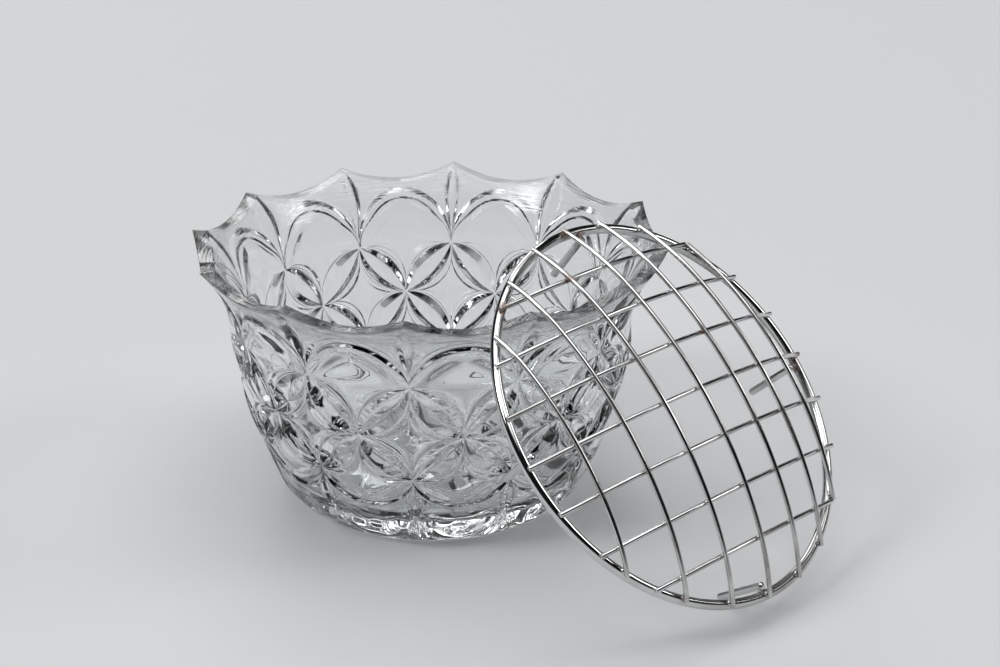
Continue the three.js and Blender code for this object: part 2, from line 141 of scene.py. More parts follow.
class RoseBowlGrid(bpy.types.PropertyGroup):
    """Sizes of the wire grid"""

    ring_radius: length("Ring radius", 65.7, "Centre line of the rim ring")
    ring_rod: length("Ring rod", 1.65, "Radius of the ring's rod")
    wire_rod: length("Wire rod", 0.8, "Radius of the grid wires")
    wires: IntProperty(name="Wires", description="Wires each way", default=7, min=2)
    wire_pitch: length("Wire pitch", 16.4, "Spacing of the wires")
    grid_shift: length("Shift", 3.4, "Upper wires sit this far off the ring's middle")
    grid_turn: angle("Turn", -2.4, "Turn of the grid in its ring")
    dome_rise: length("Dome rise", 16.2, "Height of the dome over the ring")
    wire_end: length("Wire end", 0.3, "Wire ends stop short of the ring's outer side")
    seat_run: length("Seat run", 20, "Wires bend down from the dome within this distance of the ring")
    level_run: length("Level run", 8, "Lower wires ease off again within this distance of the ring")
    cross_inset: length("Cross inset", 2.2, "Wires cross no nearer to the ring than this")
    peg_rod: length("Peg rod", 1.25, "Radius of a peg")
    peg_length: length("Peg length", 19.5, "Length of a peg")
    peg_lean: angle("Peg lean", 10.3, "Pegs draw in towards their tips")
    peg_turn: angle("Peg turn", 84.7, "Place of the first peg round the ring")
    peg_stand: length("Peg stand", 1.2, "Top end of a peg over the ring's middle plane")
    peg_gap: length("Peg gap", 0.3, "Room between a peg and the ring, filled by the weld")
    pegs: IntProperty(name="Pegs", description="Pegs round the ring", default=4, min=1)
    weld_sink: length("Weld sink", 0.15, "How far welded rods sink into each other")
    weld_bead: length("Weld bead", 0.95, "Half width of the bead that a weld leaves")
    lean_tilt: angle("Lean tilt", 42.6, "The grid's axis rises by this angle")
    lean_turn: angle("Lean turn", -37.4, "Heading of the grid's axis, seen from above")


class RoseBowlFinish(bpy.types.PropertyGroup):
    """Colours of the materials and of the stage"""

    crystal: colour("Crystal", "#f7f9fa", "Clear lead crystal")
    plate: colour("Plate", "#d3d4d4", "Bright nickel plate")
    dull_plate: colour("Dull plate", "#a09f9c", "Plate dulled by handling and water")
    burn: colour("Weld burn", "#6b4a32", "Brown stain beside a weld")
    floor: colour("Floor", "#d2d3d4", "Pale table")


# Meshes
class Skin:
    """Faces that share their points, gathered into one mesh"""

    fineness = 1e7  # points are told apart by tenths of a micrometre

    def __init__(self):
        self.points = []
        self.faces = []
        self.known = {}

    def at(self, p):
        """Number of a point, which is added if it's new."""
        key = tuple(round(c * self.fineness) for c in p)
        if key not in self.known:
            self.known[key] = len(self.points)
            self.points.append(tuple(p))
        return self.known[key]

    def face(self, *corners):
        ids = []
        for p in corners:
            k = self.at(p)
            if k not in ids:
                ids.append(k)
        if len(ids) > 2:
            self.faces.append(ids)

    def bands(self, rows):
        """Quads between closed rows that run anticlockwise, each with the next one above it."""
        n = len(rows[0])
        for lower, upper in zip(rows, rows[1:]):
            for i in range(n):
                j = (i + 1) % n
                self.face(lower[i], lower[j], upper[j], upper[i])

    def build(self, name):
        mesh = bpy.data.meshes.new(name)
        mesh.from_pydata(self.points, [], self.faces)
        if mesh.validate():
            raise RuntimeError(f"{name} has faulty faces")
        mesh.shade_smooth()
        return mesh


def place(name, mesh, body, material, nodes):
    """Puts a mesh in the scene on its body, in place of its CAD nodes."""
    piece = bpy.data.objects.new(name, mesh)
    bpy.context.scene.collection.objects.link(piece)
    mesh.materials.append(material)
    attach(piece, body)
    if nodes:
        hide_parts(*nodes)


def smooth(x, low, high):
    """Eases from 0 at low to 1 at high."""
    t = min(max((x - low) / (high - low), 0.0), 1.0)
    return t * t * (3 - 2 * t)


def mix(a, b, t):
    return a + (b - a) * t


def shares(n):
    """Shares of a run of n even steps, without its start."""
    return [k / n for k in range(1, n + 1)]


def full_turn(n):
    """Angles of n points spread evenly round a circle."""
    return [2 * math.pi * k / n for k in range(n)]


# The bowl
class BowlForm:
    """The bowl's outside by formula: steps count half pitches round it, v counts rows of circles up it"""

    top_row = 4
    leaf_reach = 0.94  # leaves and stems take up this share of their way
    leaf_power, stem_power = 1.7, 1.3  # and are widest past its middle by these powers
    leaf_fade = 1.4  # how late they get shallower where they narrow
    stem_foot = 0.6  # stems run down to this share of the fans' height
    node_reach = 0.4  # angle along a petal's edge within which it drops to a node
    star_power = 4  # how close to its edge a star passes into it
    # Place of a groove on the way from a star's middle to its edge, and half its width, as shares of that way
    groove_at, groove_half = 0.84, 0.16
    # Rays of a fan set in between these distances from its point and these heights over the table
    fan_start, fan_foot = (1.5 * MM, 6 * MM), (0.4 * MM, 2.5 * MM)
    fan_edge = 0.8  # and fade beyond this share of its spread
    # Star under the foot: flat ring round it, its sloped border, and the half width and run-out of its rays
    base_ring, base_border, ray_width, ray_end = 5 * MM, 2 * MM, 2.6 * MM, 6 * MM
    base_sunk = 0.25  # share of its depth that all of it is sunk by
    least_leaf, least_ray = 1e-7, 1e-6  # least half widths, so that nothing is divided by zero

    def __init__(self, sizes, pattern):
        self.s = sizes
        self.p = pattern
        self.neck = sizes.tip_height - sizes.flare_height
        self.arch_top = sizes.tip_height - sizes.scallop_depth - pattern.rim_band
        self.half_pitch = math.pi / sizes.rim_points
        self.steps = 2 * sizes.rim_points
        self.rows = [pattern.foot]
        for share in pattern.row_share:
            self.rows.append(self.rows[-1] + share * (self.arch_top - pattern.foot))
        self.arch_top = self.rows[-1]
        self.low_node, self.high_node = self.rows[1], self.rows[3]

    def wall_radius(self, z):
        """Radius of the outside before its pattern."""
        s = self.s
        if z >= self.neck:
            flare = ((z - self.neck) / s.flare_height) ** s.flare_power
            return s.neck_radius + (s.tip_radius - s.neck_radius) * flare
        share = 1 - max(z, s.bevel_height) / self.neck
        wall = s.neck_radius - s.wall_taper * share ** s.belly_power
        if z >= s.bevel_height:
            return wall
        # The lowest stretch rounds in from the wall's own slope to the foot
        slope = s.wall_taper * s.belly_power / self.neck * share ** (s.belly_power - 1)
        down = s.bevel_height - z
        bend = (wall - s.foot_radius - slope * s.bevel_height) / s.bevel_height ** 2
        return wall - slope * down - bend * down * down

    def rim_height(self, step):
        """Height of the scalloped rim, with a point at each even step."""
        away = abs(step - 2 * round(step / 2))
        return self.s.tip_height - self.s.scallop_depth * (1 - (1 - away) ** 2)

    def row_height(self, v):
        """Height of a place counted in rows."""
        row = min(int(v), self.top_row - 1)
        return mix(self.rows[row], self.rows[row + 1], v - row)

    def outside(self, step, z, relief):
        """Point of the outside, raised by its relief."""
        turn = (step % self.steps) * self.half_pitch
        r = self.wall_radius(z) + relief
        return (r * math.cos(turn), r * math.sin(turn), z)

    def sideways(self, step, z):
        """Distance round the wall from the nearest even step."""
        return (step - 2 * round(step / 2)) * self.half_pitch * self.wall_radius(z)

    def leaf(self, step, z):
        """Depth of the narrow leaves: up from a node to its rim point, and down from a lowest node."""
        p = self.p
        top = (z - self.high_node) / (self.s.tip_height - self.high_node) / self.leaf_reach
        low = (self.low_node - z) / (self.low_node - self.stem_foot * p.fan_height) / self.leaf_reach
        if 0 < top < 1:
            depth, width = p.leaf_depth, p.leaf_width * math.sin(math.pi * top ** self.leaf_power)
        elif 0 < low < 1:
            depth, width = p.stem_depth, p.stem_width * math.sin(math.pi * low ** self.stem_power)
        else:
            return 0.0
        x = abs(self.sideways(step, z)) / max(width, self.least_leaf)
        if x >= 1:
            return 0.0
        return scoop(depth * min(1.0, self.leaf_fade * width / p.leaf_width), 0.0, x)

    def dip(self, turn, arch):
        """Relief of a petal's edge, which drops where it nears a node."""
        away = turn if arch else min(turn, math.pi / 2 - turn)
        return -self.p.node_depth * max(0.0, 1 - away / self.node_reach) ** 2

    def star_relief(self, ds, dv, out, edge, turn):
        """A star swells like a cushion inside a groove, which fades towards its four tips."""
        p = self.p
        beside = max(0.0, 1 - abs(out - self.groove_at) / self.groove_half)
        groove = p.groove_depth * beside * math.sin(2 * turn)
        near = out ** self.star_power
        return p.star_rise * (1 - ds * ds - dv * dv) * (1 - near) + edge * near - groove

    def foot_relief(self, step, z):
        """Leaves, fans of rays and thumbprints between the foot and the pattern."""
        p = self.p
        dx, dz = self.sideways(step, z), p.fan_height - z
        far, spread = math.hypot(dx, dz), abs(math.atan2(dx, dz))
        fade = smooth(far, *self.fan_start)
        fade *= 1 - smooth(spread, self.fan_edge * p.fan_spread, p.fan_spread)
        fade *= smooth(z, *self.fan_foot)
        fan = p.fan_depth * fade * (0.5 - 0.5 * math.cos(2 * math.pi * spread / p.fan_ray))
        out = math.hypot(self.sideways(step + 1, z) / p.thumb_width, (z - p.thumb_height) / p.thumb_rise)
        thumb = scoop(p.thumb_depth, 0.0, out) if out < 1 else 0.0
        return -max(self.leaf(step, z) + fan, thumb)

    def base_relief(self, step, r):
        """Height of the star cut under the foot, which stands clear of the table inside a flat ring."""
        p = self.p
        reach = self.s.foot_radius - self.base_ring
        if r >= reach:
            return 0.0
        ray = abs((step * self.half_pitch * p.base_rays / (2 * math.pi) + 0.5) % 1.0 - 0.5) * 2
        across = ray * math.pi * r / p.base_rays
        width = self.ray_width * (1 - (r / reach) ** 2) + self.least_ray
        cut = (1 - self.base_sunk) * max(0.0, 1 - across / width) * smooth(reach - r, 0, self.ray_end)
        return p.base_depth * (self.base_sunk * smooth(reach - r, 0, self.base_border) + cut)


ARC = 16  # pieces of a petal's edge
# Turns along that edge, closer together towards its two nodes
TURNS = [math.pi / 8 * (2 * k / ARC + 1 - math.cos(math.pi * k / ARC)) for k in range(ARC + 1)]
# Rows of points from a star's middle out, and from a petal's edge to its middle line
RINGS = [0.04, 0.08, 0.13, 0.19, 0.3, 0.45, 0.58, 0.71, 0.84, 0.93, 1.0]
SCOOP = [0.95, 0.83, 0.68, 0.54, 0.43, 0.33, 0.18, 0.0]
# Shares of a petal's half width: its floor is flat within the first, its sides slope evenly beyond the second
FLAT, SLOPE = 0.25, 0.52
# Angles from its node within which an arch narrows and deepens
ARCH_NARROW, ARCH_DEEPEN = 0.75, 0.6


def arc_point(star, n1, n2, turn):
    """Point of the circle round a star that passes through two nodes, in steps and rows."""
    c, s = math.cos(turn), math.sin(turn)
    return tuple(m + c * (a - m) + s * (b - m) for m, a, b in zip(star, n1, n2))


def scoop(floor, rim, a):
    """Relief across a petal: broad even slopes along its two edges and a flat floor between them."""
    a = abs(a)
    bend = min(max((a - FLAT) / (SLOPE - FLAT), 0.0), 1.0)
    rise = (SLOPE - FLAT) * (bend ** 3 - bend ** 4 / 2) + max(a - SLOPE, 0.0)
    return mix(floor, rim, rise / (1 - (SLOPE + FLAT) / 2))


def quarter(skin, middle, rows, turn):
    """Faces from the middle of a star out through its rows of points."""
    for k in range(ARC):
        a, b = (k, k + 1) if turn > 0 else (k + 1, k)
        skin.face(middle, rows[0][a], rows[0][b])
        for low, high in zip(rows, rows[1:]):
            skin.face(low[a], high[a], high[b], low[b])


def pattern_square(skin, form, i, j):
    """One unit of the pattern: a petal along its diagonal and a quarter of a star on each side of it."""
    p = form.p
    if (i + j) % 2:
        n1, n2, stars = (i, j), (i + 1, j + 1), ((i + 1, j), (i, j + 1))
    else:
        n1, n2, stars = (i + 1, j), (i, j + 1), ((i, j), (i + 1, j + 1))
    ends = (0, form.top_row)
    for star, across in (stars, stars[::-1]):
        arch = star[1] in ends or across[1] in ends
        # Turns are counted from the node that stands level with the arch
        level = (across if star[1] in ends else star)[1]
        turns = [t if not arch or n1[1] == level else math.pi / 2 - t for t in TURNS]
        dips = [form.dip(t, arch) for t in turns]
        outer = [arc_point(across, n1, n2, t) for t in TURNS]
        own = [arc_point(star, n1, n2, t) for t in TURNS]
        if arch and star[1] not in ends:
            share = [1 - p.arch_share * smooth(t, 0.0, ARCH_NARROW) for t in turns]
            edge = [tuple(mix(star[c], own[k][c], share[k]) for c in (0, 1)) for k in range(ARC + 1)]
        else:
            edge = outer

        def star_at(k, out):
            ds, dv = out * (edge[k][0] - star[0]), out * (edge[k][1] - star[1])
            z = form.row_height(star[1] + dv)
            if star[1] in ends:
                relief = dips[k] * out ** form.star_power - form.leaf(star[0] + ds, z)
            else:
                relief = form.star_relief(ds, dv, out, dips[k], TURNS[k])
            return form.outside(star[0] + ds, z, relief)

        def between(first, last, k, share, relief):
            step, v = (mix(first[k][c], last[k][c], share) for c in (0, 1))
            z = form.row_height(v)
            return form.outside(step, z, relief - (form.leaf(step, z) if share == 0 and arch else 0))

        rows = [[star_at(k, out) for k in range(ARC + 1)] for out in RINGS]
        if not arch:
            spine = [tuple((outer[k][c] + own[k][c]) / 2 for c in (0, 1)) for k in range(ARC + 1)]
            floor = [-mix(p.node_depth, p.petal_depth, math.sin(2 * t)) for t in TURNS]
            for a in SCOOP:
                rows.append([between(spine, edge, k, a, scoop(floor[k], dips[k], a)) for k in range(ARC + 1)])
        elif star[1] not in ends:
            floor = [-mix(p.node_depth, p.arch_depth, smooth(t, 0.0, ARCH_DEEPEN)) for t in turns]
            for a in SCOOP + [-a for a in SCOOP[-2::-1]] + [-1.0]:
                rows.append([
                    between(own, edge, k, (1 + a) / 2, scoop(floor[k], dips[k], a)) for k in range(ARC + 1)
                ])
        # Positive where the two nodes follow each other anticlockwise round the star
        turn = (n1[0] - star[0]) * (n2[1] - star[1]) - (n1[1] - star[1]) * (n2[0] - star[0])
        quarter(skin, star_at(0, 0.0), rows, turn)


SPLIT = 3  # columns of the foot for each column of the pattern
# Rows of points under the foot, round its edge and up the bevel
BASE_ROWS, FOOT_EDGE, BEVEL_ROWS = 12, 4, 12
# Rows round each edge of the rim, and inside below the rim, down the wall and round the corner
RIM_EDGE, INNER_RIM, INNER_WALL, INNER_CORNER = 5, 5, 14, 8
BASE_MIDDLE = 1.2 * MM  # radius of the innermost row under the foot
INNER_DROP = 2 * MM  # the inside evens out the scallops down to this far below the arches
# Shares of the height from the bevel to the pattern, and of the plain band below the rim
FOOT_LEVELS = (0.12, 0.25, 0.38, 0.5, 0.62, 0.72, 0.8, 0.85, 0.89, 0.93, 0.97)
RIM_LEVELS = (0.0, 0.1, 0.2, 0.32, 0.45, 0.6, 0.8, 1.0)


def row(form, steps, at):
    """Points round the bowl, from a function that gives the radius and height at a step."""
    made = []
    for step in steps:
        r, z = at(step)
        turn = step * form.half_pitch
        made.append((r * math.cos(turn), r * math.sin(turn), z))
    return made


def rounded(first, corner, last, t):
    """Point of a rounded edge that sets off towards its corner."""
    return tuple(
        (1 - t) ** 2 * a + 2 * t * (1 - t) * b + t * t * c for a, b, c in zip(first, corner, last)
    )


def foot_rows(form, steps):
    """Rows of points from under the foot out, round its edge and up to the pattern."""
    s, wall = form.s, form.wall_radius
    e = s.edge_round
    flat = wall(0) - 2 * e
    rows = []
    for share in shares(BASE_ROWS)[::-1]:
        r = mix(flat, BASE_MIDDLE, share)
        rows.append(row(form, steps, lambda step, r=r: (r, form.base_relief(step, r))))
    for share in [0.0] + shares(FOOT_EDGE):
        edge = rounded((flat, 0), (wall(0), 0), (wall(e), e), share)
        rows.append(row(form, steps, lambda _, edge=edge: edge))
    levels = [mix(e, s.bevel_height, share) for share in shares(BEVEL_ROWS)]
    levels += [mix(s.bevel_height, form.p.foot, share) for share in FOOT_LEVELS]
    for z in levels:
        rows.append(row(form, steps, lambda step, z=z: (wall(z) + form.foot_relief(step, z), z)))
    return rows


def rim_rows(form, steps):
    """Rows of points up the plain band, over the rounded rim and down the smooth inside."""
    s, rim, wall = form.s, form.rim_height, form.wall_radius
    e = s.edge_round
    corner = s.floor_thickness + s.inner_corner
    level = form.arch_top - INNER_DROP
    rows = []
    for share in RIM_LEVELS:
        def band(step, share=share):
            z = mix(form.arch_top, rim(step) - e, share)
            return wall(z) - form.leaf(step, z), z
        rows.append(row(form, steps, band))
    for share in shares(RIM_EDGE):
        def outer_edge(step, share=share):
            z, r = rim(step), wall(rim(step))
            return rounded((wall(z - e), z - e), (r, z), (r - e, z), share)
        rows.append(row(form, steps, outer_edge))
    for share in [0.0] + shares(RIM_EDGE):
        def inner_edge(step, share=share):
            z, r = rim(step), wall(rim(step)) - s.wall
            return rounded((r + e, z), (r, z), (wall(z - e) - s.wall, z - e), share)
        rows.append(row(form, steps, inner_edge))
    for share in shares(INNER_RIM):
        def inner_band(step, share=share):
            z = mix(rim(step) - e, level, share)
            return wall(z) - s.wall, z
        rows.append(row(form, steps, inner_band))
    for share in shares(INNER_WALL):
        z = mix(level, corner, share)
        rows.append(row(form, steps, lambda _, z=z: (wall(z) - s.wall, z)))
    for k in range(1, INNER_CORNER + 1):
        turn = math.pi / 2 * k / INNER_CORNER
        r = wall(corner) - s.wall - s.inner_corner * (1 - math.cos(turn))
        z = corner - s.inner_corner * math.sin(turn)
        rows.append(row(form, steps, lambda _, r=r, z=z: (r, z)))
    return rows


def glass_mesh(form):
    """The whole bowl as one closed skin, from the middle of its foot to the middle of its inside floor."""
    s, p = form.s, form.p
    skin = Skin()
    for j in range(form.top_row):
        for i in range(form.steps):
            pattern_square(skin, form, i, j)
    columns = []
    for star in range(0, form.steps, 2):
        columns += [star] + [star + out for out in RINGS] + [star + 2 - out for out in RINGS[-2::-1]]
    fine = []
    for a, b in zip(columns, columns[1:] + [form.steps]):
        fine += [mix(a, b, k / SPLIT) for k in range(SPLIT)]

    rows = foot_rows(form, fine)
    base = (0.0, 0.0, p.base_depth)
    for a, b in zip(rows[0], rows[0][1:] + rows[0][:1]):
        skin.face(base, b, a)
    skin.bands(rows)
    # The foot's columns are gathered into those of the pattern
    line = row(form, columns, lambda step: (form.wall_radius(p.foot) - form.leaf(step, p.foot), p.foot))
    for k in range(len(line)):
        under = [rows[-1][(SPLIT * k + n) % len(fine)] for n in range(SPLIT + 1)]
        skin.face(*under, line[(k + 1) % len(line)], line[k])

    rows = rim_rows(form, columns)
    skin.bands(rows)
    middle = (0.0, 0.0, s.floor_thickness)
    for a, b in zip(rows[-1], rows[-1][1:] + rows[-1][:1]):
        skin.face(middle, a, b)
    return skin.build("glass_bowl")


# The grid
# How much some of the welds browned the plate; the others took up to LIGHT_BURN, in an uneven order
BURNT = {
    "peg_1": 1.0, "upper_4_head": 0.8, "lower_7_tail": 1.0, "crossing_3_7": 0.85, "crossing_5_5": 0.85,
    "lower_4_head": 0.7, "peg_4": 1.0, "crossing_2_3": 0.5, "upper_2_tail": 0.5,
}
LIGHT_BURN, BURN_STEP, BURN_START = 0.22, 0.618034, 0.3
BURN_REACH = 2.3 * MM
# Radii of the beads as shares of the usual half width, in the grid's frame
BEADS = {"crossing": (1.0, 1.0, 0.5), "ring": (1.2, 1.2, 0.6), "peg": (1.1, 1.1, 1.7)}
SETTLE = 12  # rounds in which a drop and the slope that it gives agree
# Pieces along the ring, a wire and a peg, and sides of their rods
RING_STEPS, WIRE_STEPS, PEG_STEPS = 180, 96, 24
RING_SIDES, WIRE_SIDES, PEG_SIDES = 20, 12, 16
WIRE_CHAMFER, PEG_CHAMFER = 0.12 * MM, 0.25 * MM
BEAD_SIDES, BEAD_ROWS = 12, 6
# Welds farther than this from a wire, or from the top of a peg, don't brown it
WIRE_NEAR, PEG_NEAR = 5 * MM, 8 * MM


class GridForm:
    """The grid's lines by formula, in its own frame: its axis along Z and the ring round the origin"""

    def __init__(self, grid):
        g = self.g = grid
        self.dome_radius = (g.ring_radius ** 2 + g.dome_rise ** 2) / (2 * g.dome_rise)
        self.slope = math.tan(math.asin(g.ring_radius / self.dome_radius))
        self.touch = g.ring_rod + g.wire_rod - g.weld_sink
        self.seat = self.touch * math.hypot(1, self.slope)
        self.lift = (2 * g.wire_rod - g.weld_sink) * math.hypot(1, self.slope)
        # Both sets of wires bend down from the dome near the ring, until the upper ones lie on it
        self.fall = g.ring_radius - g.seat_run
        self.drop = self.lift
        for _ in range(SETTLE):
            bent = self.slope + 2 * self.drop / g.seat_run
            self.drop = self.seat + self.lift - self.touch * math.hypot(1, bent)
        # The lower ones ease off again before they reach it
        self.level = g.ring_radius - g.level_run
        self.level_height = self.dome(self.level) - self.sag(self.level)
        self.level_slope = (
            self.level / math.sqrt(self.dome_radius ** 2 - self.level ** 2)
            + 2 * self.drop * (self.level - self.fall) / g.seat_run ** 2
        )
        self.end_slope = self.level_slope
        for _ in range(SETTLE):
            mean = (self.level_height - self.touch * math.hypot(1, self.end_slope)) / g.level_run
            self.end_slope = 2 * mean - self.level_slope
        low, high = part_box("grid_ring")
        axis = Vector((
            math.cos(g.lean_tilt) * math.cos(g.lean_turn),
            math.cos(g.lean_tilt) * math.sin(g.lean_turn),
            math.sin(g.lean_tilt),
        ))
        side = Vector((-math.sin(g.lean_turn), math.cos(g.lean_turn), 0))
        turn = Matrix((side, axis.cross(side), axis)).transposed().to_4x4()
        self.to_part = Matrix.Translation((low + high) / 2) @ turn

    def dome(self, r):
        """Height of the dome that the lower wires follow, over the ring's middle plane."""
        return math.sqrt(self.dome_radius ** 2 - r * r) - (self.dome_radius - self.g.dome_rise) + self.seat

    def offset(self, index, upper):
        """How far a wire lies off the grid's middle."""
        g = self.g
        return (index - (g.wires + 1) / 2) * g.wire_pitch - (g.grid_shift if upper else 0)

    def sag(self, r, power=2):
        """How far a wire has come down from the dome."""
        return self.drop * (max(r - self.fall, 0.0) / self.g.seat_run) ** power

    def lower_height(self, r):
        """Height of the lower wires."""
        if r <= self.level:
            return self.dome(r) - self.sag(r)
        run = r - self.level
        ease = (self.level_slope - self.end_slope) / (2 * self.g.level_run)
        return self.level_height - self.level_slope * run + ease * run * run

    def end(self, off, upper, side):
        """How far a wire reaches, and the power by which it falls: late where it crosses near the ring."""
        g = self.g
        reach = math.sqrt((g.ring_radius + g.ring_rod - g.wire_end) ** 2 - off ** 2)
        power = 2
        for w in range(1, g.wires + 1):
            other = side * self.offset(w, not upper)
            if other <= 0:
                continue
            crossing = math.hypot(off, other)
            if crossing >= g.ring_radius - g.cross_inset:
                if not upper:
                    reach = min(reach, other - 2 * g.wire_rod)
            elif upper and crossing > self.level:
                share = (self.dome(crossing) - self.lower_height(crossing)) / self.drop
                power = max(power, math.log(share) / math.log((crossing - self.fall) / g.seat_run))
        return reach, power

    def height(self, r, upper, power):
        return self.dome(r) + self.lift - self.sag(r, power) if upper else self.lower_height(r)

    def turned(self, x, y, z):
        """A point of the grid, turned in its ring."""
        c, s = math.cos(self.g.grid_turn), math.sin(self.g.grid_turn)
        return Vector((x * c - y * s, x * s + y * c, z))

    def wire(self, index, upper):
        """Middle line of a wire, and the direction square to the plane that it bends in."""
        off = self.offset(index, upper)
        ends = {side: self.end(off, upper, side) for side in (1, -1)}
        points = []
        for k in range(WIRE_STEPS + 1):
            # Points lie closer together towards the two ends
            share = math.sin(math.pi * (k / WIRE_STEPS - 0.5))
            t = share * ends[1 if share >= 0 else -1][0]
            z = self.height(math.hypot(off, t), upper, ends[1 if t >= 0 else -1][1])
            points.append(self.turned(off, t, z) if upper else self.turned(t, off, z))
        return points, self.turned(1, 0, 0) if upper else self.turned(0, 1, 0)

    def welds(self):
        """Each weld: its name, the point where two rods meet, and its bead's radii in the grid's frame."""
        g = self.g
        numbers = range(1, g.wires + 1)
        beads = {kind: tuple(g.weld_bead * c for c in radii) for kind, radii in BEADS.items()}
        for u in numbers:
            for w in numbers:
                x, y = self.offset(u, True), self.offset(w, False)
                r = math.hypot(x, y)
                if r < g.ring_radius - g.cross_inset:
                    point = self.turned(x, y, self.lower_height(r) + self.lift / 2)
                    yield f"crossing_{u}_{w}", point, beads["crossing"]
        for upper in (True, False):
            for w in numbers:
                off = self.offset(w, upper)
                t = math.sqrt(g.ring_radius ** 2 - off ** 2)
                for side in (1, -1):
                    if t > self.end(off, upper, side)[0]:
                        continue
                    name = f"{'upper' if upper else 'lower'}_{w}_{'head' if side > 0 else 'tail'}"
                    x, y = (off, side * t) if upper else (side * t, off)
                    yield name, self.turned(x, y, g.ring_rod), beads["ring"]
        for k in range(g.pegs):
            _, _, along = self.peg(k)
            out = Vector((along.y, -along.x, 0))
            yield f"peg_{k + 1}", (g.ring_radius - g.ring_rod - g.peg_gap / 2) * out, beads["peg"]

    def burns(self):
        """Points of the welds with how much each browned the plate: a few took most of the heat."""
        for k, (name, point, _) in enumerate(self.welds()):
            yield point, BURNT.get(name, LIGHT_BURN * ((k * BURN_STEP + BURN_START) % 1.0))

    def peg(self, index):
        """Top and tip of a peg, and the direction along the ring there."""
        g = self.g
        turn = g.peg_turn + index * 2 * math.pi / g.pegs
        out = Vector((math.cos(turn), math.sin(turn), 0))
        down = Vector((0, 0, -math.cos(g.peg_lean))) - math.sin(g.peg_lean) * out
        clear = (g.ring_rod + g.peg_rod + g.peg_gap) / math.cos(g.peg_lean)
        top = (g.ring_radius - clear) * out - g.peg_stand / math.cos(g.peg_lean) * down
        return top, top + g.peg_length * down, Vector((-math.sin(turn), math.cos(turn), 0))


def rod_mesh(name, form, points, radius, sides, flat, chamfer=0.0, closed=False, stain=()):
    """A round rod along points of the grid's frame that bend square to flat, stained near some points."""
    rows = []
    last = len(points) - 1
    for k, p in enumerate(points):
        if closed:
            before, after = points[k - 1], points[(k + 1) % len(points)]
        else:
            before, after = points[max(k - 1, 0)], points[min(k + 1, last)]
        rows.append((p, (after - before).normalized(), radius))
    if not closed:
        # Cut ends with a small chamfer
        (p, t, _), (q, u, _) = rows[0], rows[-1]
        rows = [(p, t, radius - chamfer), (p + chamfer * t, t, radius)] + rows[1:-1]
        rows += [(q - chamfer * u, u, radius), (q, u, radius - chamfer)]
    circles = []
    for p, along, size in rows:
        rise = along.cross(flat).normalized()
        circles.append([
            form.to_part @ (p + size * (math.cos(t) * flat + math.sin(t) * rise)) for t in full_turn(sides)
        ])
    skin = Skin()
    skin.bands(circles + circles[:1] if closed else circles)
    if not closed:
        skin.face(*circles[0][::-1])
        skin.face(*circles[-1])
    mesh = skin.build(name)
    stain_welds(mesh, form, stain)
    return mesh


def stain_welds(mesh, form, burns):
    """Writes how brown each point is from the welds near it."""
    spots = [(form.to_part @ point, strength) for point, strength in burns]
    mark = mesh.attributes.new("weld_burn", "FLOAT", "POINT")
    for v in mesh.vertices:
        near = [s * math.exp(-((v.co - q).length / BURN_REACH) ** 2) for q, s in spots]
        mark.data[v.index].value = max(near, default=0.0)


def bead_mesh(name, form):
    """The beads of all welds, each a squashed ball on the point where two rods meet."""
    skin = Skin()
    for _, middle, (wide, deep, high) in form.welds():
        rows = []
        for j in range(1, BEAD_ROWS):
            t = math.pi * (j / BEAD_ROWS - 0.5)
            rows.append([
                form.to_part @ (middle + Vector((
                    wide * math.cos(t) * math.cos(a), deep * math.cos(t) * math.sin(a), high * math.sin(t),
                )))
                for a in full_turn(BEAD_SIDES)
            ])
        skin.bands(rows)
        bottom, top = (form.to_part @ (middle + Vector((0, 0, side * high))) for side in (-1, 1))
        for k in range(BEAD_SIDES):
            after = (k + 1) % BEAD_SIDES
            skin.face(bottom, rows[0][after], rows[0][k])
            skin.face(top, rows[-1][k], rows[-1][after])
    mesh = skin.build(name)
    stain_welds(mesh, form, form.burns())
    return mesh


# Materials
def add(tree, kind, values=None, links=None, **settings):
    """Adds a shader node with its settings, its unlinked values and its links."""
    node = tree.nodes.new("ShaderNode" + kind)
    for name, value in settings.items():
        setattr(node, name, value)
    for name, value in (values or {}).items():
        node.inputs[name].default_value = value
    for name, source in (links or {}).items():
        tree.links.new(source, node.inputs[name])
    return node


def fresh(name):
    """A new material without nodes."""
    material = bpy.data.materials.new(name)
    material.use_nodes = True
    material.node_tree.nodes.clear()
    return material, material.node_tree


